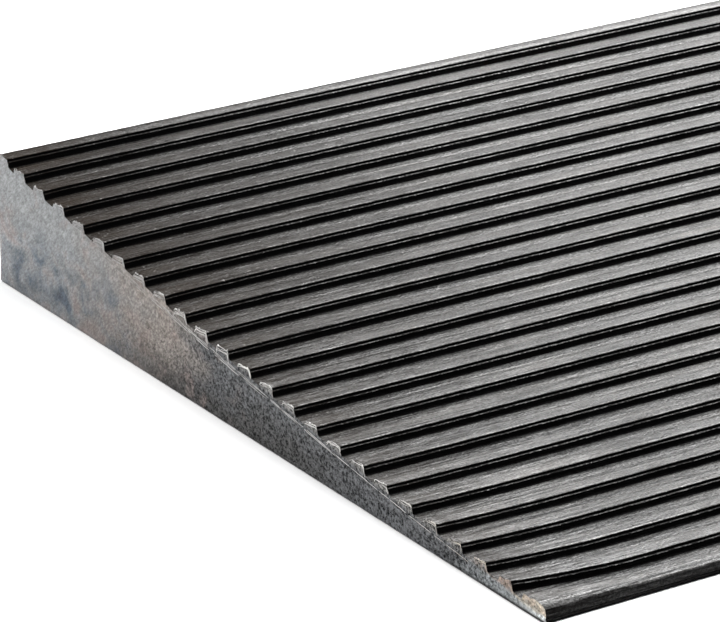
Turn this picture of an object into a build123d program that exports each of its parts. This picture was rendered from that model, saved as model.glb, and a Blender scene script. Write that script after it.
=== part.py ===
"""Portable threshold ramp: a low rubber wedge with a ribbed deck, cut to width with a saw.

Frame: millimetres, +Z up, +Y uphill towards the step, +X along the ribs.
The origin is the middle of the flat underside.  The sawn end faces -X.
"""
from build123d import *
import os
from math import cos, radians, sin, tan

# ---------------------------------------------------------------- driving dimensions
WIDTH = 900.0  # along the ribs: one doorway
HEIGHT = 34.5  # at the back edge, where the ramp meets the step
GROOVES = 24
RIB_PITCH = 10.0  # lip to lip, along the deck
FIRST_PITCH = 8.5  # the groove below the top strip is a little narrower
TOE_PITCH = 11.3  # and the toe's rib is a little wider
TOP_STRIP = 4.5  # level strip along the back edge
TOE_NOSE = 1.2  # how far the front edge stands out past the toe's lip
TOE_EDGE = 1.0  # blunt front edge of the core, under the tread
UPPER_SLOPE = radians(8.0)  # steady slope of the upper deck
TOE_SLOPE = radians(5.0)  # the slope that the deck has eased to at the toe
STEADY_RUN = 150.0  # length of deck at the steady slope
TREAD_THICKNESS = 2.9  # from the lips down to the bond with the core

# A rib.  Depths are square to the line through the lips.
WALL_DRAFT = 1.0  # the wall's foot stands this far downhill of its lip
WALL_DEPTH = 2.05
GROOVE_END_DEPTH = 2.2  # the groove's floor is deepest against the next rib
STEP_DRAFT = 0.6
STEP_TOP_DEPTH = 0.85  # the rib's top rises from here to its lip
RIB_TOP = 4.4
TOE_RIB_TOP = 6.2

LIP_RADIUS = 0.25
FOOT_RADIUS = 0.6
STEP_RADIUS = 0.2
TOE_RADIUS = 1.6

# ---------------------------------------------------------------- line of the deck
DECK_LENGTH = FIRST_PITCH + (GROOVES - 2) * RIB_PITCH + TOE_PITCH
EASING_RADIUS = (DECK_LENGTH - STEADY_RUN) / (UPPER_SLOPE - TOE_SLOPE)
STEADY_LENGTH_Y = STEADY_RUN * cos(UPPER_SLOPE)
EASING_LENGTH_Y = EASING_RADIUS * (sin(UPPER_SLOPE) - sin(TOE_SLOPE))
RUN = TOP_STRIP + STEADY_LENGTH_Y + EASING_LENGTH_Y + TOE_NOSE
BACK_Y = RUN / 2
TOE_Y = -RUN / 2
TOP_LIP_Y = BACK_Y - TOP_STRIP


def deck_point(along, depth=0.0):
    """Point (y, z) at a distance downhill of the top lip and a depth below the line of lips."""
    if along <= STEADY_RUN:
        slope = UPPER_SLOPE
        y = TOP_LIP_Y - along * cos(slope)
        z = HEIGHT - along * sin(slope)
    else:
        slope = UPPER_SLOPE - (along - STEADY_RUN) / EASING_RADIUS
        y = TOP_LIP_Y - STEADY_LENGTH_Y - EASING_RADIUS * (sin(UPPER_SLOPE) - sin(slope))
        z = HEIGHT - STEADY_RUN * sin(UPPER_SLOPE) - EASING_RADIUS * (cos(slope) - cos(UPPER_SLOPE))
    return (y + depth * sin(slope), z - depth * cos(slope))


# ---------------------------------------------------------------- face that bonds tread to core
bond_top = deck_point(0.0, TREAD_THICKNESS)
bond_back = (BACK_Y, bond_top[1] + (BACK_Y - bond_top[0]) * tan(UPPER_SLOPE))
bond_easing = deck_point(STEADY_RUN, TREAD_THICKNESS)
bond_middle = deck_point((STEADY_RUN + DECK_LENGTH) / 2, TREAD_THICKNESS)
bond_toe = deck_point(DECK_LENGTH, TREAD_THICKNESS)
bond_front = (TOE_Y, TOE_EDGE)

# ---------------------------------------------------------------- ribbed profile of the tread
lips = [0.0]
lips += [FIRST_PITCH + RIB_PITCH * n for n in range(GROOVES - 1)]
lips += [DECK_LENGTH]
rib_points = [(BACK_Y, HEIGHT), (TOP_LIP_Y, HEIGHT)]
rib_radii = [LIP_RADIUS]
for lip, next_lip in zip(lips, lips[1:]):
    at_toe = next_lip == DECK_LENGTH
    step_top = next_lip - (TOE_RIB_TOP if at_toe else RIB_TOP)
    rib_points += [
        deck_point(lip + WALL_DRAFT, WALL_DEPTH),
        deck_point(step_top - STEP_DRAFT, GROOVE_END_DEPTH),
        deck_point(step_top, STEP_TOP_DEPTH),
        deck_point(next_lip),
    ]
    rib_radii += [FOOT_RADIUS, STEP_RADIUS, STEP_RADIUS, TOE_RADIUS if at_toe else LIP_RADIUS]
rib_points += [bond_front]

os.makedirs("parts", exist_ok=True)

# ---------------------------------------------------------------- ribbed tread
with BuildPart() as ribbed_tread:
    with BuildSketch(Plane.YZ) as tread_section:
        with BuildLine():
            FilletPolyline(*rib_points, radius=rib_radii)
            Line(bond_front, bond_toe)
            ThreePointArc(bond_toe, bond_middle, bond_easing)
            Polyline(bond_easing, bond_back, (BACK_Y, HEIGHT))
        make_face()
    extrude(amount=WIDTH / 2, both=True)
ribbed_tread.part.label = "ribbed_tread"
export_step(ribbed_tread.part, "parts/ribbed_tread.step")

# ---------------------------------------------------------------- wedge core
with BuildPart() as wedge_core:
    with BuildSketch(Plane.YZ) as core_section:
        with BuildLine():
            Polyline(bond_easing, bond_back, (BACK_Y, 0), (TOE_Y, 0), bond_front, bond_toe)
            ThreePointArc(bond_toe, bond_middle, bond_easing)
        make_face()
    extrude(amount=WIDTH / 2, both=True)
wedge_core.part.label = "wedge_core"
export_step(wedge_core.part, "parts/wedge_core.step")
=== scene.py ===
"""Portable threshold ramp: its looks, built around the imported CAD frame.

Shapes are worked out in millimetres in the frame's own axes, +X along the ribs, +Y uphill
and +Z up, and turned into metres when a mesh is made.  The sawn end faces -X.
"""

import math
import random

import bpy
import numpy as np
from mathutils import Matrix, Vector, noise
from mathutils.geometry import delaunay_2d_cdt


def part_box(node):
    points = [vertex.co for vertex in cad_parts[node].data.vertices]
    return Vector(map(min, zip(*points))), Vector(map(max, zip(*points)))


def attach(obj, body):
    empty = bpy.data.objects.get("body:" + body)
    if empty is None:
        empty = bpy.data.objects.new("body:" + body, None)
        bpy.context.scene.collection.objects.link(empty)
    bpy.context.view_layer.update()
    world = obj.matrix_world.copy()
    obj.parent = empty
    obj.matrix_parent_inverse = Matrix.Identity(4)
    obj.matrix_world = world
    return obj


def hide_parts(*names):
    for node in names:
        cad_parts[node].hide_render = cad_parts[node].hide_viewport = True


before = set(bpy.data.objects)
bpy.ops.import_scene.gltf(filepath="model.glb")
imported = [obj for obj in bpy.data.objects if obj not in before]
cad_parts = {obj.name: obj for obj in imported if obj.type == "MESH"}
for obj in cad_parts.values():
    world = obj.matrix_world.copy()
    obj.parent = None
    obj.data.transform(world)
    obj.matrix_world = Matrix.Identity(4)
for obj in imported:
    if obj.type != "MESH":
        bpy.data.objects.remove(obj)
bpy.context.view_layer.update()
MM = 0.001

# ------------------------------------------------------------------ sizes from the frame
tread_low, tread_high = (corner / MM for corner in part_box("ribbed_tread"))
SAWN_X = tread_low.x
FAR_X = tread_high.x
TOE_Y = tread_low.y
BACK_Y = tread_high.y
HEIGHT = tread_high.z

# ------------------------------------------------------------------ the deck, as the part has it
GROOVES = 24
RIB_PITCH = 10.0
FIRST_PITCH = 8.5
TOE_PITCH = 11.3
TOP_STRIP = 4.5
TOE_EDGE = 1.0
UPPER_SLOPE = math.radians(8.0)
TOE_SLOPE = math.radians(5.0)
STEADY_RUN = 150.0
TREAD_THICKNESS = 2.9
WALL_DRAFT, WALL_DEPTH = 1.0, 2.05
GROOVE_END_DEPTH = 2.2
STEP_DRAFT = 0.6
STEP_TOP_DEPTH = 0.85
RIB_TOP = 4.4
TOE_RIB_TOP = 6.2

DECK_LENGTH = FIRST_PITCH + (GROOVES - 2) * RIB_PITCH + TOE_PITCH
EASING_RADIUS = (DECK_LENGTH - STEADY_RUN) / (UPPER_SLOPE - TOE_SLOPE)
TOP_LIP_Y = BACK_Y - TOP_STRIP


def deck_point(along, depth=0.0):
    """(y, z) at a distance downhill of the top lip and a depth below the line of lips."""
    steady = min(along, STEADY_RUN)
    slope = UPPER_SLOPE - max(0.0, along - STEADY_RUN) / EASING_RADIUS
    y = TOP_LIP_Y - steady * math.cos(UPPER_SLOPE)
    y -= EASING_RADIUS * (math.sin(UPPER_SLOPE) - math.sin(slope))
    z = HEIGHT - steady * math.sin(UPPER_SLOPE)
    z -= EASING_RADIUS * (math.cos(slope) - math.cos(UPPER_SLOPE))
    return (y + depth * math.sin(slope), z - depth * math.cos(slope))


def rib_lips():
    """Distance down the deck of every lip, from the top strip's to the toe's."""
    middle = [FIRST_PITCH + RIB_PITCH * n for n in range(GROOVES - 1)]
    return [0.0] + middle + [DECK_LENGTH]


BOND_TOP = deck_point(0.0, TREAD_THICKNESS)
BOND_BACK = (BACK_Y, BOND_TOP[1] + (BACK_Y - BOND_TOP[0]) * math.tan(UPPER_SLOPE))
BOND_FRONT = (TOE_Y + 0.15, TOE_EDGE)
BOND_STEP = 6.0  # spacing of the points along the bond between tread and core

DECK_YS, DECK_ZS = np.array([deck_point(along) for along in np.linspace(0, DECK_LENGTH, 60)]).T


def deck_height(y):
    """Height of the line of lips above a place along Y."""
    return np.interp(y, DECK_YS[::-1], DECK_ZS[::-1])


# ------------------------------------------------------------------ outlines
def rounded(corners, longest):
    """Points of an open outline, given as corners (y, z, radius, segments, tag).

    Each corner becomes an arc, and straight runs are cut to at most `longest`.
    Returns the points as an array of (y, z), and one tag for each.
    """
    points, tags = [], []

    def add(point, tag):
        if points:
            start = points[-1]
            cuts = max(1, math.ceil((point - start).length / longest))
            points.extend(start.lerp(point, n / cuts) for n in range(1, cuts))
            tags.extend(["run"] * (cuts - 1))
        points.append(point)
        tags.append(tag)

    for before, corner, after in zip([None] + corners, corners, corners[1:] + [None]):
        y, z, radius, segments, tag = corner
        at = Vector((y, z))
        if radius == 0:
            add(at, tag)
            continue
        back = (Vector(before[:2]) - at).normalized()
        on = (Vector(after[:2]) - at).normalized()
        half = back.angle(on) / 2
        reach = radius / math.tan(half)
        middle = at + (back + on).normalized() * radius / math.sin(half)
        first = at + back * reach - middle
        last = at + on * reach - middle
        for n in range(segments + 1):
            add(middle + first.slerp(last, n / segments) * radius, tag)
    return np.array([tuple(p) for p in points]), tags


# A fine ledge runs along each wall, a third of the way down: (downhill, depth).
LEDGE_INSIDE = (0.17, 0.74)
LEDGE_OUTSIDE = (0.47, 0.86)
LEDGE_UNDERSIDE = (0.52, 0.99)
SHADE_END = 2.2  # the floor is shaded this far out from the wall's foot
TOE_CROWN = (1.7, 0.09)  # the last rib turns down here: (uphill of the last lip, depth)
TOE_CROWN_RADIUS = 3.5
TOE_LIP_DEPTH = 0.3
BACK_EDGE_RADIUS = 0.35
LIP_RADIUS = 0.2
LONGEST_RUN = 2.8  # straight runs of the tread's outline are cut to this


def tread_top():
    """The ribbed outline, from the back edge down to the front of the toe."""
    lips = rib_lips()
    corners = [(*BOND_BACK, 0, 0, "bond")]
    corners += [(BACK_Y, HEIGHT, BACK_EDGE_RADIUS, 3, "lip"), (TOP_LIP_Y, HEIGHT, 0.22, 2, "lip")]
    for lip, next_lip in zip(lips, lips[1:]):
        at_toe = next_lip == DECK_LENGTH
        rib_top = TOE_RIB_TOP if at_toe else RIB_TOP
        step_top = next_lip - lip - rib_top
        foot = Vector((WALL_DRAFT, WALL_DEPTH))
        seam = Vector((step_top - STEP_DRAFT, GROOVE_END_DEPTH))
        shade_end = foot.lerp(seam, min(0.75, SHADE_END / (seam - foot).length))
        shape = [
            ((0.06, 0.22), 0.0, 1, "wall"),
            (LEDGE_INSIDE, 0.06, 1, "wall"),
            (LEDGE_OUTSIDE, 0.06, 1, "ledge"),
            (LEDGE_UNDERSIDE, 0.0, 1, "wall"),
            (foot, 0.4, 3, "foot"),
            (foot.lerp(shade_end, 0.42), 0.0, 1, "dim"),
            (shade_end, 0.0, 1, "floor"),
            (seam, 0.2, 1, "seam"),
            ((step_top, STEP_TOP_DEPTH), 0.3, 2, "step"),
            ((step_top + 0.3 * rib_top, 0.7 * STEP_TOP_DEPTH), 0.0, 1, "run"),
            ((step_top + 0.88 * rib_top, 0.12 * STEP_TOP_DEPTH), 0.0, 1, "run"),
        ]
        for (down, depth), radius, segments, tag in shape:
            corners.append((*deck_point(lip + down, depth), radius, segments, tag))
        if at_toe:
            del corners[-2:]
            crown = deck_point(next_lip - TOE_CROWN[0], TOE_CROWN[1])
            corners.append((*crown, TOE_CROWN_RADIUS, 3, "crown"))
            corners.append((*deck_point(next_lip, TOE_LIP_DEPTH), 0.35, 2, "toe"))
        else:
            corners.append((*deck_point(next_lip), LIP_RADIUS, 2, "lip"))
    corners.append((TOE_Y + 0.32, TOE_EDGE + 1.55, 0, 1, "nose"))
    corners.append((TOE_Y + 0.08, TOE_EDGE + 0.9, 0, 1, "nose"))
    corners.append((TOE_Y, TOE_EDGE + 0.2, 0.1, 1, "nose"))
    corners.append((*BOND_FRONT, 0, 0, "bond"))
    return rounded(corners, LONGEST_RUN)


def bond_line():
    """The outline between tread and core, from the toe up to the back."""
    count = int(DECK_LENGTH / BOND_STEP)
    middle = [deck_point(DECK_LENGTH * (1 - n / count), TREAD_THICKNESS) for n in range(count + 1)]
    return np.array([BOND_FRONT] + middle + [BOND_BACK])


def core_outline():
    """The core's closed outline: up the bond, down the back and along the floor to the toe."""
    top = bond_line()
    corners = [(*BOND_BACK, 0, 0, "run"), (BACK_Y, 0.0, 0.5, 3, "edge")]
    corners += [(TOE_Y, 0.0, 0.25, 2, "edge"), (TOE_Y, TOE_EDGE - 0.05, 0.15, 2, "edge")]
    corners += [(*BOND_FRONT, 0, 0, "edge")]
    under, _ = rounded(corners, longest=5.0)  # the tags aren't needed here
    return np.vstack([top, under[1:-1]])


# ------------------------------------------------------------------ wear and cut
def wander(x, y, z, length):
    """Smooth noise from -1 to 1 whose bumps are about `length` millimetres long."""
    return noise.noise(Vector((x, y, z)) / length)


FACE_BOW = 0.45
BOW_CENTRE_Y = -36
BOW_SPAN = 125


def cut_relief(y, z):
    """How far the sawn face stands back at a point; less than nothing where it stands out.

    The blade drifted, so the face bows towards its top edge, and it left waves and crumbs.
    """
    drift = math.cos(math.pi * (y - BOW_CENTRE_Y) / BOW_SPAN)
    bow = -FACE_BOW * drift * min(1.0, z / deck_height(y))
    waves = 0.06 * wander(y, z, 3.0, 9.0)
    crumbs = 0.05 * wander(y, z, 40.0, 0.9)
    return bow + waves + crumbs


def share(value, start, end):
    """0 at the start, 1 at the end and beyond, and straight between."""
    return min(1.0, max(0.0, (value - start) / (end - start)))


CUT_REACH = 11.9  # the saw's pull on the ribs dies away over this distance
CORNER_REACH = 30  # within this of the cut the toe's corner turns back uphill
CURVE_HOLD, CURVE_FADE = 50, 90  # the ribs' curve is kept, and then fades, along X
CURVE_STARTS, CURVE_FULL, CURVE_STEEPEST = 110, 160, (150, 230)  # distances down the deck
CURVE_DOWNHILL = 1.05
CURVE_PROUD = 0.34
SUNK = 0.32  # how far the saw dragged the upper ribs down


def bowed(x, y, z):
    """Moves a point of the deck as the real ramp is bent and worn near its sawn corner.

    Towards the toe the ribs curve, so they run further downhill away from the cut, and the
    corner itself stands a little proud.  Higher up, the saw dragged the ribs down slightly.
    """
    along = (TOP_LIP_Y - y) / math.cos(UPPER_SLOPE)
    from_cut = x - SAWN_X
    near_cut = math.exp(-from_cut / CUT_REACH)
    far_off = math.exp(-max(0.0, from_cut - CURVE_HOLD) / CURVE_FADE)
    curve = 0.2 + 1.9 * share(along, *CURVE_STEEPEST) ** 2.5
    curve *= share(along, CURVE_STARTS, CURVE_FULL)
    sunk = SUNK * near_cut * share(along, 130, 100) * share(along, 0, 6)
    above_toe = share(z, TOE_EDGE, TOE_EDGE + 1.5)
    behind_toe = share(y, TOE_Y, TOE_Y + 2.2)
    corner = max(0.0, 1 - from_cut / CORNER_REACH) ** 1.3
    downhill = CURVE_DOWNHILL * curve * (1 - 1.5 * corner) * far_off * behind_toe
    proud = CURVE_PROUD * curve * near_cut * above_toe
    return y - downhill, z + proud - sunk


RELIEF_REACH = 4.0  # the cut's relief is gone this far in


def cut_shift(x, relief):
    """How much of the cut's relief is left at x, which is all of it at the cut."""
    return relief * max(0.0, 1 - (x - SAWN_X) / RELIEF_REACH)


# how freely each part of the outline wavers, and how far the blade tore it at the cut
LOOSENESS = {"lip": 1.0, "ledge": 1.6, "step": 0.8, "wall": 0.5, "run": 0.3, "foot": 0.4}
LOOSENESS |= {"crown": 0.3, "toe": 0.8, "dim": 0.3, "floor": 0.3, "seam": 0.2, "nose": 0.5}
TORN = {"lip": 0.7, "step": 0.75, "run": 0.5, "seam": 0.22, "foot": 0.22}
TORN_ELSEWHERE = 0.06
TEAR_REACH = 0.8  # the tearing dies away over this distance from the cut


def worn(x, y, z, tag, rib):
    """A point of the tread's outline at x, moved as moulding and use have left it."""
    if tag == "bond":
        return y, z
    loose = LOOSENESS[tag]
    from_cut = x - SAWN_X
    tear = TORN.get(tag, TORN_ELSEWHERE) * math.exp(-from_cut / TEAR_REACH)
    sway = 0.10 * wander(x, rib * 31.0, 0.0, 55.0)
    chatter = 0.055 * loose * wander(x, y * 2, z * 2, 2.6)
    torn = tear * wander(from_cut, y * 2, z * 2, 1.1)
    ledge = 0.09 * wander(x, rib * 17.0, 5.0, 4.0) if tag == "ledge" else 0.0
    return bowed(x, y + sway + chatter * 0.7 - ledge, z + chatter + torn - abs(torn) * 0.5)


# ------------------------------------------------------------------ meshes
CLOSE_END = 212.0  # rings are close together up to this distance from the cut
CLOSE_STEP = 1.9
FAR_RINGS = 27


def stations():
    """Places along X: close together at the cut, further apart where little changes."""
    near = [0.0, 0.2, 0.45, 0.75, 1.1, 1.6, 2.3, 3.2, 4.4]
    middle = np.arange(6.0, CLOSE_END, CLOSE_STEP)
    far = np.linspace(CLOSE_END + 4.0, FAR_X - SAWN_X, FAR_RINGS)
    return SAWN_X + np.concatenate([near, middle, far])


def inside_points(top, bottom, spacing):
    """A jittered grid of (y, z) points between two outlines that each run along Y."""
    rng = random.Random(4)
    top = top[np.argsort(top[:, 0], kind="stable")]
    bottom = bottom[np.argsort(bottom[:, 0], kind="stable")]
    points = []
    for y in np.arange(TOE_Y + spacing, BACK_Y - spacing / 2, spacing):
        ceiling = np.interp([y - 0.3, y, y + 0.3], top[:, 0], top[:, 1]).min() - 0.4 * spacing
        floor = np.interp(y, bottom[:, 0], bottom[:, 1]) + 0.4 * spacing
        for z in np.arange(floor, ceiling, spacing):
            jitter = [rng.uniform(-0.2, 0.2) * spacing for _ in range(2)]
            points.append((y + jitter[0], z + abs(jitter[1])))
    return points


def cap(ring, inner):
    """Triangles that fill a ring of (y, z) points, using extra points inside it."""
    points = [Vector(p) for p in ring] + [Vector(p) for p in inner]
    edges = [(n, (n + 1) % len(ring)) for n in range(len(ring))]
    _, _, faces, sources, _, _ = delaunay_2d_cdt(points, edges, [], 1, 1e-7)
    first = [source[0] for source in sources]
    return [[first[corner] for corner in face] for face in faces]


def solid_along_x(rings, inner, relief):
    """A closed mesh from rings of (x, y, z) along X, capped at both ends.

    Returns the points, the faces, and how many of the faces belong to the sawn cap.
    """
    count, size, _ = rings.shape
    points = rings.reshape(-1, 3).tolist()
    ys, zs = rings[0, :, 1], rings[0, :, 2]
    anticlockwise = np.sum(ys * np.roll(zs, -1) - np.roll(ys, -1) * zs) > 0
    faces = []
    for station in range(count - 1):
        a = station * size
        for n in range(size):
            m = (n + 1) % size
            face = (a + n, a + size + n, a + size + m, a + m)
            faces.append(face[::-1] if anticlockwise else face)
    last = (count - 1) * size
    caps = []
    for start, x, sign in ((0, SAWN_X, 1), (last, FAR_X, 0)):
        triangles = cap(rings[start // size][:, 1:], inner)
        extra = len(points)
        points += [(x + sign * relief(y, z), y, z) for y, z in inner]
        for triangle in triangles:
            face = [start + n if n < size else extra + n - size for n in triangle]
            caps.append(face if start else face[::-1])
        if not start:
            sawn = len(caps)
    return points, caps + faces, sawn


SHARP_ANGLE = math.radians(38)


def make_object(name, points, faces, materials):
    """A smooth-shaded object, in metres, with its corners kept sharp."""
    mesh = bpy.data.meshes.new(name)
    mesh.from_pydata((np.array(points) * MM).tolist(), [], faces)
    mesh.validate()
    for material in materials:
        mesh.materials.append(material)
    mesh.shade_smooth()
    mesh.set_sharp_from_angle(angle=SHARP_ANGLE)
    made = bpy.data.objects.new(name, mesh)
    bpy.context.scene.collection.objects.link(made)
    return made


def set_slots(made, first_faces, slot):
    """Gives the first faces of a mesh another of its materials."""
    slots = np.zeros(len(made.data.polygons), dtype=np.int32)
    slots[:first_faces] = slot
    made.data.polygons.foreach_set("material_index", slots)


def store(made, name, values):
    """Stores one value for each point of a mesh, for a material to read."""
    attribute = made.data.attributes.new(name, "FLOAT", "POINT")
    attribute.data.foreach_set("value", np.asarray(values, dtype=np.float32))


def mark(made, name, ring_values, rings):
    """Stores the same values on every ring, and nothing on the caps' inner points."""
    values = np.zeros(len(made.data.vertices))
    values[: rings * len(ring_values)] = np.tile(ring_values, rings)
    store(made, name, values)


def mark_depth(made):
    """Stores how many millimetres each point is below the line of lips."""
    points = np.array([vertex.co for vertex in made.data.vertices]) / MM
    store(made, "depth", deck_height(points[:, 1]) - points[:, 2])


# how much painted shade, as darker colour and less shine, each part of the outline gets: walls, their
# feet, the floor beside them, seams, the toe and the bond edges; the rest is 0
PAINTED_SHADE_LEVELS = {"wall": 1.0, "foot": 1.0, "dim": 0.42, "floor": 0.25, "seam": 0.45}
PAINTED_SHADE_LEVELS |= {"crown": 0.3, "toe": 0.65, "nose": 0.9, "bond": 0.93}


def nearest_rib(y):
    """Number of the rib nearest to a place along Y, counted from the top."""
    return min(range(GROOVES + 1), key=lambda n: abs(n * RIB_PITCH - (TOP_LIP_Y - y)))


def build_tread(materials):
    """The ribbed layer, worn along its whole length and torn where it was sawn."""
    top, tags = tread_top()
    bottom = bond_line()[1:-1]
    ribs = [nearest_rib(y) for y, _ in top]
    xs = stations()
    relief = np.array([cut_relief(y, z) for y, z in top.tolist() + bottom.tolist()])
    rings = []
    for x in xs:
        upper = [worn(x, y, z, tag, rib) for (y, z), tag, rib in zip(top, tags, ribs)]
        rings.append(np.column_stack([x + cut_shift(x, relief), upper + bottom.tolist()]))
    rings = np.array(rings)
    edge = rings[0][: len(top), 1:]
    inner = inside_points(edge, bond_line(), spacing=0.75)
    points, faces, sawn = solid_along_x(rings, inner, cut_relief)
    made = make_object("ribbed_tread_moulding", points, faces, materials)
    set_slots(made, sawn, 1)
    under = [0.0] * len(bottom)
    # painted shade levels, one for each point of the outline, stored for the material
    mark(made, "painted_shade", [PAINTED_SHADE_LEVELS.get(tag, 0.0) for tag in tags] + under, len(xs))
    mark(made, "ledge", [float(tag == "ledge") for tag in tags] + under, len(xs))
    mark_depth(made)
    return made


def build_core(materials):
    """The wedge under the ribbed layer, with painted shadow as a near-black strip on its front below the
    toe.
    """
    outline = core_outline()
    xs = stations()
    relief = np.array([cut_relief(y, z) for y, z in outline])
    rings = [np.column_stack([x + cut_shift(x, relief), outline]) for x in xs]
    top = bond_line()
    base = np.array([(TOE_Y, 0.0), (BACK_Y, 0.0)])
    inner = inside_points(top, base, spacing=0.9)
    points, faces, sawn = solid_along_x(np.array(rings), inner, cut_relief)
    made = make_object("wedge_core_block", points, faces, materials)
    set_slots(made, sawn, 1)
    # painted shadow: the core's front below the toe gets the most painted shade, near-black and without
    # shine
    front = [0.95 if z > 0.5 else 1.0 for _, z in outline]
    mark(made, "painted_shade", [dark * (y < TOE_Y + 0.3) for dark, (y, _) in zip(front, outline)], len(xs))
    mark_depth(made)
    return made


def strand(path, radius, sides=5):
    """A tapering thread through a path of (x, y, z): its points and faces."""
    path = [Vector(p) for p in path]
    points, faces = [], []
    for n, at in enumerate(path):
        along = (path[min(n + 1, len(path) - 1)] - path[max(n - 1, 0)]).normalized()
        across = along.cross(Vector((1, 0, 0))).normalized()
        outward = across.cross(along)
        taper = radius * (0.25 + 0.75 * math.sin(math.pi * n / (len(path) - 1)) ** 0.5)
        for side in range(sides):
            turn = 2 * math.pi * side / sides
            points.append(at + (across * math.cos(turn) + outward * math.sin(turn)) * taper)
    for n in range(len(path) - 1):
        for side in range(sides):
            a, b = n * sides + side, n * sides + (side + 1) % sides
            faces.append((a, a + sides, b + sides, b))
    last = (len(path) - 1) * sides
    faces += [tuple(range(sides)), tuple(range(last, last + sides))[::-1]]
    return points, faces


def gather(pieces):
    """One list of points and one of faces from several pieces."""
    points, faces = [], []
    for some_points, some_faces in pieces:
        faces += [tuple(corner + len(points) for corner in face) for face in some_faces]
        points += some_points
    return points, faces


def on_cut(along, depth, lift):
    """A point on the sawn face, stood out from it by `lift`."""
    y, z = deck_point(along, depth)
    x = SAWN_X + cut_relief(y, z) - lift
    return (x, *bowed(SAWN_X, y, z))


def rib_fringe(rng, lip, loops):
    """Threads of rubber that the blade dragged over one rib's end."""
    outline = [
        (lip - RIB_TOP - 0.75, 2.0),
        (lip - RIB_TOP - 0.35, 1.4),
        (lip - RIB_TOP, 0.85),
        (lip - RIB_TOP * 0.55, 0.45),
        (lip - 0.2, 0.02),
        (lip + 0.25, 0.6),
        (lip + 0.75, 1.5),
        (lip + 1.1, 2.2),
    ]
    strands = []
    for loop in range(loops):
        start, end = rng.randint(0, 3), rng.randint(5, 8)
        grown = rng.uniform(-0.15, 0.20) - 0.28 * loop
        path = []
        for along, depth in outline[start:end]:
            depth = depth - grown + rng.uniform(-0.22, 0.22)
            path.append(on_cut(along + rng.uniform(-0.18, 0.18), depth, rng.uniform(0.0, 0.16)))
        strands.append(strand(smooth(path), rng.uniform(0.04, 0.09)))
    return strands


def smooth(path, cuts=3):
    """Rounds a path off with Catmull-Rom pieces."""
    path = [Vector(p) for p in path]
    padded = [path[0]] + path + [path[-1]]
    rounded_path = []
    for a, b, c, d in zip(padded, padded[1:], padded[2:], padded[3:]):
        for n in range(cuts):
            t = n / cuts
            bend = (2 * a - 5 * b + 4 * c - d) * t * t + (3 * b - a - 3 * c + d) * t ** 3
            rounded_path.append(b + ((c - a) * t + bend) / 2)
    return rounded_path + [path[-1]]


def spike(rng, along, depth, height, lean):
    """A small pointed flap of torn rubber that stands up from the edge of the cut."""
    steps = [0.0, 0.35, 0.7, 1.0]
    path = []
    for t in steps:
        path.append(on_cut(along + lean * t * t, depth - height * t, 0.02 + rng.uniform(0.0, 0.12) * t))
    points, faces = [], []
    for t, (x, y, z) in zip(steps, path):
        half = 0.30 * height * (1 - t) + 0.02
        front, back = x - 0.03, x + 0.12
        points += [Vector((front, y - half, z)), Vector((back, y, z)), Vector((front, y + half, z))]
    for n in range(len(steps) - 1):
        for side in range(3):
            a, b = n * 3 + side, n * 3 + (side + 1) % 3
            faces.append((a, b, b + 3, a + 3))
    last = (len(steps) - 1) * 3
    return points, faces + [(2, 1, 0), (last, last + 1, last + 2)]


DRAGGED = (30, 115)  # the blade dragged the most rubber here, down the deck
TALL_SPIKES_END = 130
SPIKES_END = 200


def build_rib_end_burrs(material):
    """The ragged fringe that the saw left around the rib ends."""
    rng = random.Random(21)
    pieces = []
    for lip in rib_lips()[1:-2]:
        dragged = DRAGGED[0] < lip < DRAGGED[1]
        pieces += rib_fringe(rng, lip, loops=6 if dragged else 3)
        for _ in range(rng.randint(5, 9) if lip < SPIKES_END else 2):
            along = lip - RIB_TOP * rng.uniform(0.0, 1.03)
            depth = STEP_TOP_DEPTH * (lip - along) / RIB_TOP + 0.12
            height = rng.uniform(0.12, 0.55) * (1.0 if lip < TALL_SPIKES_END else 0.65)
            pieces.append(spike(rng, along, depth, height, rng.uniform(-0.5, 0.4)))
    return make_object("rib_end_burrs", *gather(pieces), [material])


# rows of threads: depth, first and last place down the deck, and how broken the row is
THREAD_ROWS = ((3.1, 42, 205, 0.3), (3.45, 60, 150, 0.7), (3.95, 48, 120, 1.2))


def build_saw_threads(material):
    """Thin broken threads that the saw drew out along the bond line."""
    rng = random.Random(8)
    pieces = []
    for row_depth, first, last, gap in THREAD_ROWS:
        along = first + rng.uniform(0, 4)
        while along < last:
            length = rng.uniform(4, 15)
            drift = rng.uniform(-0.12, 0.12)
            path = []
            for n in range(7):
                t = n / 6
                depth = row_depth + drift * (t - 0.5) + rng.uniform(-0.05, 0.05)
                path.append(on_cut(along + length * t, depth, rng.uniform(0.0, 0.08)))
            pieces.append(strand(smooth(path), rng.uniform(0.04, 0.08)))
            along += length + rng.uniform(0.1, 4.0) * gap
    return make_object("saw_threads", *gather(pieces), [material])


# ------------------------------------------------------------------ materials
def node(tree, kind, inputs=None, **settings):
    """Adds a node.  An input is a value, or the output socket to link from."""
    made = tree.nodes.new(kind)
    for name, value in settings.items():
        setattr(made, name, value)
    for name, value in (inputs or {}).items():
        if isinstance(value, bpy.types.NodeSocket):
            tree.links.new(value, made.inputs[name])
        else:
            made.inputs[name].default_value = value
    return made


def stretched_noise(tree, coords, scale, detail=3.0, roughness=0.6, distortion=0.0):
    """Noise stretched by a different scale along each axis, from 0 to 1."""
    mapping = node(tree, "ShaderNodeMapping", {"Vector": coords, "Scale": scale})
    settings = {"Vector": mapping.outputs[0], "Scale": 1.0, "Detail": detail}
    settings |= {"Roughness": roughness, "Distortion": distortion}
    return node(tree, "ShaderNodeTexNoise", settings).outputs["Fac"]


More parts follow.
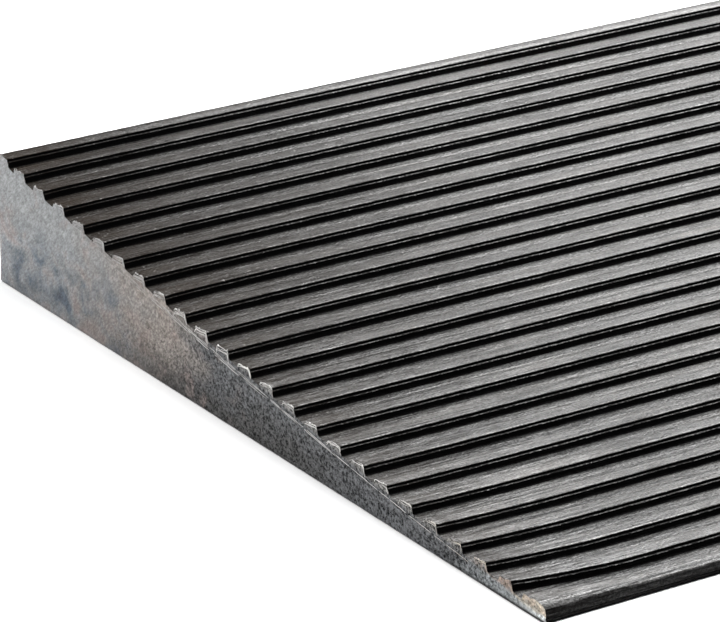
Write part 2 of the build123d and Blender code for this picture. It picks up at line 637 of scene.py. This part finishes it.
def ramp(tree, factor, low, high, to_low=0.0, to_high=1.0):
    """A clamped straight map of a value from low..high to to_low..to_high."""
    inputs = {"Value": factor, "From Min": low, "From Max": high, "To Min": to_low, "To Max": to_high}
    return node(tree, "ShaderNodeMapRange", inputs).outputs[0]


def combine(tree, a, b, operation="MULTIPLY"):
    """Two values joined by an operation; it multiplies them unless told otherwise."""
    return node(tree, "ShaderNodeMath", {0: a, 1: b}, operation=operation).outputs[0]


def blend(tree, factor, a, b):
    """A mix of two colours."""
    made = node(tree, "ShaderNodeMix", data_type="RGBA")
    for index, value in ((0, factor), (6, a), (7, b)):
        if isinstance(value, bpy.types.NodeSocket):
            tree.links.new(value, made.inputs[index])
        else:
            made.inputs[index].default_value = value
    return made.outputs[2]


def bump(tree, height, distance, normal=None):
    """A surface normal tilted by a height, added to another bump if one is given."""
    inputs = {"Height": height, "Distance": distance, "Strength": 1.0}
    if normal is not None:
        inputs["Normal"] = normal
    return node(tree, "ShaderNodeBump", inputs).outputs[0]


def grey(level, warmth=0.0):
    """A near-neutral colour; warmth above 0 is browner and below 0 is bluer."""
    return (level * (1 + warmth), level, level * (1 - warmth), 1.0)


def by_place(tree, place, start, end, to_start=0.0, to_end=1.0):
    """A clamped straight map of a place along one axis, from start..end in millimetres."""
    return ramp(tree, place, start * MM, end * MM, to_start, to_end)


def new_material(name):
    """A material, its node tree and its shader."""
    material = bpy.data.materials.new(name)
    material.use_nodes = True
    tree = material.node_tree
    return material, tree, tree.nodes["Principled BSDF"]


BLACK_RUBBER = grey(0.013, 0.05)
DUST = (0.075, 0.066, 0.057, 1.0)
# the near-black brown that the deck darkens to near the cut
NEAR_CUT_DARK = (0.012, 0.009, 0.007, 1.0)
BROWN_TINT = (0.025, 0.020, 0.016, 1.0)
SPECK = grey(0.22, 0.03)
# painted shade: the near-black that the shaded parts of the outline are blended to
PAINTED_SHADE_BLACK = grey(0.0012)


def moulded_rubber(name):
    """Black rubber with streaks drawn along the ribs, a fine grain and a little pale dust.

    The walls of the grooves never catch the light; they, their feet, the floor beside them, the seams and
    the toe get painted shade, darker and less shiny.
    """
    material, tree, shader = new_material(name)
    coords = node(tree, "ShaderNodeTexCoord").outputs["Object"]
    long_streaks = stretched_noise(tree, coords, (20, 1900, 1900))
    short_streaks = stretched_noise(tree, coords, (220, 2700, 2700), detail=2.0)
    patches = stretched_noise(tree, coords, (30, 80, 80), detail=4.0)
    grain = stretched_noise(tree, coords, (1500, 1900, 1900), detail=2.0, roughness=0.7)
    place = node(tree, "ShaderNodeSeparateXYZ", {0: coords})
    along, uphill = place.outputs["X"], place.outputs["Y"]
    # the deck is darker and loses its shine near the cut, and this reaches further in towards the back
    reach = by_place(tree, uphill, -85, 50, (SAWN_X + 16) * MM, (SAWN_X + 108) * MM)
    deepest = by_place(tree, uphill, -130, 60, 0.12, 0.86)
    near_cut_darkening = ramp(tree, along, reach, (SAWN_X + 4) * MM, 0.0, deepest)
    near_cut_darkening = combine(tree, near_cut_darkening, ramp(tree, patches, 0.3, 0.6, 0.85, 1.1))
    # and use has polished the ribs, most of all near the back
    low_polish = by_place(tree, along, SAWN_X + 22, SAWN_X + 60, 1.3, 0.86)
    high_polish = by_place(tree, along, SAWN_X + 115, SAWN_X + 190, 1.70, 1.42)
    up_deck = combine(tree, by_place(tree, uphill, TOE_Y, BACK_Y), 2.0, "POWER")
    polish = ramp(tree, up_deck, 0.0, 1.0, low_polish, high_polish)
    contrast = by_place(tree, along, SAWN_X + 100, SAWN_X + 20)
    specks = stretched_noise(tree, coords, (1300, 1600, 1600), detail=0.0)
    scratches = stretched_noise(tree, coords, (70, 2300, 2300), detail=1.0)
    scratched = ramp(tree, scratches, 0.60, 0.70)
    # painted shade: walls, their feet, the floor beside them, seams and the toe are blended to near-black
    # and lose their shine
    painted_shade = node(tree, "ShaderNodeAttribute", attribute_name="painted_shade").outputs["Fac"]
    ledge = node(tree, "ShaderNodeAttribute", attribute_name="ledge").outputs["Fac"]
    # dashes of painted shade along the ledge break up its highlight, and near the cut the deck's
    # darkening dims the ledge too
    ledge_break_noise = stretched_noise(tree, coords, (1200, 240, 240), detail=2.0, roughness=0.7)
    ledge_breaks = combine(tree, ramp(tree, ledge_break_noise, 0.45, 0.55, 1.0, 0.0), near_cut_darkening, "MAXIMUM")
    ledge_shade = combine(tree, ledge, ledge_breaks)
    # the lighter painted shade fades away from 40 to 120 mm in from the cut, leaving the walls and feet
    # shaded
    floor_shade_cutoff = by_place(tree, along, SAWN_X + 40, SAWN_X + 120, 0.0, PAINTED_SHADE_LEVELS["dim"])
    all_painted_shade = combine(tree, ramp(tree, painted_shade, floor_shade_cutoff, 1.0), ledge_shade, "MAXIMUM")

    dusty = combine(tree, ramp(tree, long_streaks, 0.42, 0.75), ramp(tree, patches, 0.35, 0.7, 0.15, 1.0))
    colour = blend(tree, dusty, BLACK_RUBBER, DUST)
    colour = blend(tree, near_cut_darkening, colour, NEAR_CUT_DARK)
    at_cut = combine(tree, by_place(tree, along, SAWN_X + 28, SAWN_X), patches)
    colour = blend(tree, ramp(tree, at_cut, 0.15, 0.6, 0.0, 0.6), colour, BROWN_TINT)
    colour = blend(tree, ramp(tree, specks, 0.76, 0.82, 0.0, 0.7), colour, SPECK)
    # painted shade over the colour
    colour = blend(tree, all_painted_shade, colour, PAINTED_SHADE_BLACK)
    tree.links.new(colour, shader.inputs["Base Color"])

    streak_rough = ramp(tree, short_streaks, 0.3, 0.7, -0.07, 0.08)
    patch_rough = ramp(tree, patches, 0.3, 0.7, 0.29, 0.42)
    rough = combine(tree, patch_rough, streak_rough, "ADD")
    tree.links.new(rough, shader.inputs["Roughness"])
    shine = ramp(tree, grain, 0.40, 0.60, 0.18, 0.70)
    shine = combine(tree, shine, ramp(tree, all_painted_shade, 0.0, 1.0, 1.0, 0.01))
    shine = combine(tree, shine, polish)
    faint = ramp(tree, contrast, 0.0, 1.0, 0.82, 0.30)
    bright = ramp(tree, contrast, 0.0, 1.0, 1.22, 1.80)
    shine = combine(tree, shine, ramp(tree, long_streaks, 0.36, 0.62, faint, bright))
    shine = combine(tree, shine, ramp(tree, short_streaks, 0.36, 0.64, faint, bright))
    shine = combine(tree, shine, ramp(tree, scratched, 0.0, 1.0, 1.0, 0.5))
    shine = combine(tree, shine, ramp(tree, near_cut_darkening, 0.0, 1.0, 1.0, 0.0))
    tree.links.new(shine, shader.inputs["Specular IOR Level"])

    normal = bump(tree, long_streaks, 0.00004)
    normal = bump(tree, short_streaks, 0.00003, normal)
    normal = bump(tree, scratched, 0.00006, normal)
    normal = bump(tree, grain, 0.00018, normal)
    tree.links.new(normal, shader.inputs["Normal"])
    shader.inputs["IOR"].default_value = 1.52
    return material


PALE = (0.215, 0.222, 0.226, 1.0)
BEIGE = (0.205, 0.178, 0.157, 1.0)
ROSE = (0.205, 0.155, 0.142, 1.0)
BLUE = (0.052, 0.072, 0.100, 1.0)
SOOT = (0.024, 0.023, 0.022, 1.0)
SLATE = (0.047, 0.049, 0.053, 1.0)
TOE_GREY = (0.190, 0.205, 0.210, 1.0)
TOE_PALE = (0.46, 0.48, 0.48, 1.0)
CREAM = (0.50, 0.44, 0.34, 1.0)
BROWN = (0.17, 0.125, 0.10, 1.0)
RIB_GREY = (0.115, 0.110, 0.102, 1.0)
# painted shadow: the near-black for the sawn face's bottom edge by the toe
FLOOR_SHADOW = grey(0.006)


def sawn_rubber(name):
    """Rubber torn by a coarse blade: fine crumbs and short marks over a cloudy, mottled inside."""
    material, tree, shader = new_material(name)
    coords = node(tree, "ShaderNodeTexCoord").outputs["Object"]
    parts = node(tree, "ShaderNodeSeparateXYZ", {0: coords})
    depth = node(tree, "ShaderNodeAttribute", attribute_name="depth").outputs["Fac"]
    uphill = by_place(tree, parts.outputs["Y"], TOE_Y, BACK_Y)
    height = by_place(tree, parts.outputs["Z"], 0.0, HEIGHT)
    clouds = stretched_noise(tree, coords, (1, 40, 55), detail=4.0, distortion=0.6)
    blotches = stretched_noise(tree, coords, (1, 110, 130), detail=4.0, distortion=0.4)
    mottles = stretched_noise(tree, coords, (1, 420, 420), detail=3.0)
    flecks = stretched_noise(tree, coords, (1, 1250, 1500), detail=2.0, roughness=0.7)
    crumbs = stretched_noise(tree, coords, (1500, 1500, 1500), detail=3.0, roughness=0.7)
    tilted = node(tree, "ShaderNodeMapping", {"Vector": coords, "Rotation": (math.radians(40), 0, 0)})
    marks = stretched_noise(tree, tilted.outputs[0], (1, 750, 2300), detail=2.0, distortion=0.3)
    flat = node(tree, "ShaderNodeMapping", {"Vector": coords, "Rotation": (math.radians(-8), 0, 0)})
    flat_marks = stretched_noise(tree, flat.outputs[0], (1, 150, 2100), detail=3.0, distortion=0.3)

    # from the toe up to the back, each change of colour with a cloudy edge
    uneven = combine(tree, uphill, ramp(tree, clouds, 0.3, 0.7, -0.05, 0.05), "ADD")
    by_toe = blend(tree, ramp(tree, uphill, 0.015, 0.06), TOE_PALE, TOE_GREY)
    colour = blend(tree, ramp(tree, uneven, 0.03, 0.16), by_toe, SLATE)
    colour = blend(tree, ramp(tree, uneven, 0.57, 0.69), colour, BEIGE)
    colour = blend(tree, ramp(tree, uneven, 0.70, 0.86), colour, PALE)
    # dark low parts in the middle, and blue and rosy patches low at the back
    cloudy_height = combine(tree, height, ramp(tree, blotches, 0.3, 0.7, -0.13, 0.13), "ADD")
    low = ramp(tree, cloudy_height, 0.30, 0.08)
    middle = combine(tree, ramp(tree, uphill, 0.30, 0.42), ramp(tree, uphill, 0.80, 0.66))
    colour = blend(tree, combine(tree, low, combine(tree, middle, 0.85)), colour, SOOT)
    by_back = combine(tree, ramp(tree, uphill, 0.66, 0.80), ramp(tree, height, 0.66, 0.36))
    patchy = combine(tree, blotches, ramp(tree, mottles, 0.3, 0.7, -0.05, 0.05), "ADD")
    bluish = combine(tree, by_back, ramp(tree, patchy, 0.44, 0.68, 0.0, 0.95))
    colour = blend(tree, bluish, colour, BLUE)
    rosy = combine(tree, ramp(tree, blotches, 0.48, 0.34, 0.0, 0.6), ramp(tree, uphill, 0.50, 0.60))
    colour = blend(tree, rosy, colour, ROSE)
    # the rib ends: a little paler, brown and then cream by the toe
    ragged_depth = combine(tree, depth, ramp(tree, mottles, 0.3, 0.7, -0.5, 0.5), "ADD")
    end = ramp(tree, ragged_depth, 2.5, 1.7)
    greyed = combine(tree, end, ramp(tree, uphill, 0.60, 0.45, 0.0, 0.7))
    colour = blend(tree, greyed, colour, RIB_GREY)
    brown = combine(tree, ramp(tree, uphill, 0.13, 0.09), ramp(tree, mottles, 0.40, 0.55))
    colour = blend(tree, combine(tree, end, brown), colour, BROWN)
    creamy = combine(tree, ramp(tree, uphill, 0.055, 0.045), ramp(tree, blotches, 0.36, 0.56, 0.35, 0.95))
    colour = blend(tree, combine(tree, end, creamy), colour, CREAM)
    # painted shadow along the bottom edge of the sawn face near the toe
    near_floor = by_place(tree, parts.outputs["Z"], 0.8, 0.3)
    painted_floor_shadow = combine(tree, near_floor, ramp(tree, uphill, 0.18, 0.10))
    colour = blend(tree, painted_floor_shadow, colour, FLOOR_SHADOW)

    strokes = blend(tree, ramp(tree, uphill, 0.46, 0.30), marks, flat_marks)
    coarse = combine(tree, ramp(tree, uneven, 0.78, 0.50), ramp(tree, uphill, 0.03, 0.12, 0.4, 1.0))
    deepest = ramp(tree, coarse, 0.0, 1.0, 0.88, 0.08)
    tallest = ramp(tree, coarse, 0.0, 1.0, 1.12, 2.1)
    speckle = ramp(tree, flecks, 0.36, 0.64, deepest, tallest)
    darkest_crumb = ramp(tree, coarse, 0.0, 1.0, 0.84, 0.58)
    palest_crumb = ramp(tree, coarse, 0.0, 1.0, 1.16, 1.42)
    speckle = combine(tree, speckle, ramp(tree, crumbs, 0.36, 0.64, darkest_crumb, palest_crumb))
    speckle = combine(tree, speckle, ramp(tree, strokes, 0.34, 0.66, 0.78, 1.22))
    speckle = combine(tree, speckle, ramp(tree, mottles, 0.3, 0.7, 0.82, 1.18))
    shaded = node(tree, "ShaderNodeHueSaturation", {"Color": colour, "Value": speckle})
    tree.links.new(shaded.outputs[0], shader.inputs["Base Color"])
    tree.links.new(ramp(tree, speckle, 0.2, 1.7, 0.05, 0.85), shader.inputs["Specular IOR Level"])
    tree.links.new(ramp(tree, crumbs, 0.3, 0.7, 0.5, 0.8), shader.inputs["Roughness"])

    normal = bump(tree, strokes, 0.00010)
    normal = bump(tree, crumbs, 0.00014, normal)
    tree.links.new(normal, shader.inputs["Normal"])
    return material


THREAD_PALE = (0.62, 0.61, 0.59, 1.0)
THREAD_GREY = (0.36, 0.355, 0.35, 1.0)


def torn_threads(name):
    """Fresh pale edges of torn rubber, greyer in places."""
    material, tree, shader = new_material(name)
    coords = node(tree, "ShaderNodeTexCoord").outputs["Object"]
    place = node(tree, "ShaderNodeSeparateXYZ", {0: coords})
    uphill = by_place(tree, place.outputs["Y"], TOE_Y, BACK_Y)
    patches = stretched_noise(tree, coords, (500, 260, 500), detail=3.0)
    grain = stretched_noise(tree, coords, (2600, 2600, 2600), detail=2.0)
    pale = blend(tree, ramp(tree, uphill, 0.05, 0.25), CREAM, THREAD_PALE)
    pale = blend(tree, ramp(tree, uphill, 0.62, 0.75), pale, THREAD_GREY)
    colour = blend(tree, ramp(tree, patches, 0.32, 0.46), RIB_GREY, pale)
    tree.links.new(colour, shader.inputs["Base Color"])
    tree.links.new(ramp(tree, grain, 0.3, 0.7, 0.4, 0.65), shader.inputs["Roughness"])
    tree.links.new(bump(tree, grain, 0.00004), shader.inputs["Normal"])
    return material


def floor_material():
    """A pale studio floor with very faint clouds."""
    material, tree, shader = new_material("pale_floor")
    coords = node(tree, "ShaderNodeTexCoord").outputs["Object"]
    clouds = stretched_noise(tree, coords, (1.5, 1.5, 1.5))
    tree.links.new(blend(tree, clouds, grey(0.90), grey(0.94)), shader.inputs["Base Color"])
    shader.inputs["Roughness"].default_value = 0.9
    return material


# ------------------------------------------------------------------ camera, floor and light
CAMERA_FROM_TOE = Vector((-549.66, -769.12, 454.72))
CAMERA_PITCH = math.radians(21.97)
CAMERA_YAW = math.radians(33.10)
CAMERA_LENS = 239.75


def add_camera():
    """The camera, placed from the toe's corner at the sawn end."""
    data = bpy.data.cameras.new("camera")
    data.lens = CAMERA_LENS
    data.sensor_width = 36.0
    data.clip_end = 50.0
    camera = bpy.data.objects.new("camera", data)
    camera.location = (Vector((SAWN_X, TOE_Y, 0.0)) + CAMERA_FROM_TOE) * MM
    camera.rotation_euler = (math.pi / 2 - CAMERA_PITCH, 0.0, -CAMERA_YAW)
    bpy.context.scene.collection.objects.link(camera)
    bpy.context.scene.camera = camera


LIGHT_TARGET = Vector((SAWN_X + 120.0, 0.0, 15.0)) * MM


def add_softbox(name, azimuth, elevation, distance, size, power, roll=0):
    """A rectangular area light aimed at the sawn end of the deck.

    Azimuth 0 is behind the ramp, uphill, and 90 is past its far end.
    """
    a, e = math.radians(azimuth), math.radians(elevation)
    away = Vector((math.sin(a) * math.cos(e), math.cos(a) * math.cos(e), math.sin(e)))
    data = bpy.data.lights.new(name, "AREA")
    data.shape = "RECTANGLE"
    data.size, data.size_y = size
    data.energy = power
    light = bpy.data.objects.new(name, data)
    light.location = LIGHT_TARGET + away * distance
    turned = Matrix.Rotation(math.radians(roll), 3, away) @ away.to_track_quat("Z", "Y").to_matrix()
    light.rotation_euler = turned.to_euler()
    bpy.context.scene.collection.objects.link(light)


FLOOR_HALF = 8.0  # metres
FLOOR_GAP = 0.2  # the floor lies this far under the ramp, in millimetres


def add_floor():
    """A large square floor just under the ramp."""
    mesh = bpy.data.meshes.new("floor")
    corners = [(-1, -1), (1, -1), (1, 1), (-1, 1)]
    mesh.from_pydata([(x * FLOOR_HALF, y * FLOOR_HALF, 0) for x, y in corners], [], [(0, 1, 2, 3)])
    mesh.materials.append(floor_material())
    floor = bpy.data.objects.new("floor", mesh)
    floor.location.z = -FLOOR_GAP * MM
    bpy.context.scene.collection.objects.link(floor)


def add_studio():
    """The floor, three softboxes and a faint white surround."""
    add_floor()
    add_softbox("back_softbox", 76, 43, distance=0.8, size=(1.2, 0.75), power=29, roll=-25)
    add_softbox("overhead_softbox", -90, 77, distance=3.0, size=(3.0, 3.0), power=135)
    add_softbox("side_softbox", -80, 35, distance=2.6, size=(1.6, 1.6), power=4)
    world = bpy.data.worlds.new("studio")
    world.use_nodes = True
    background = world.node_tree.nodes["Background"]
    background.inputs["Color"].default_value = (1, 1, 1, 1)
    background.inputs["Strength"].default_value = 0.01
    bpy.context.scene.world = world
    bpy.context.scene.view_settings.view_transform = "Standard"


# ------------------------------------------------------------------ the scene
add_camera()
add_studio()

tread = build_tread([moulded_rubber("tread_moulded_rubber"), sawn_rubber("tread_sawn_rubber")])
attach(tread, "root")
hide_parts("ribbed_tread")

core = build_core([moulded_rubber("core_moulded_rubber"), sawn_rubber("core_sawn_rubber")])
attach(core, "root")
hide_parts("wedge_core")

threads = torn_threads("torn_rubber_threads")
for burrs in (build_rib_end_burrs(threads), build_saw_threads(threads)):
    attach(burrs, "root")
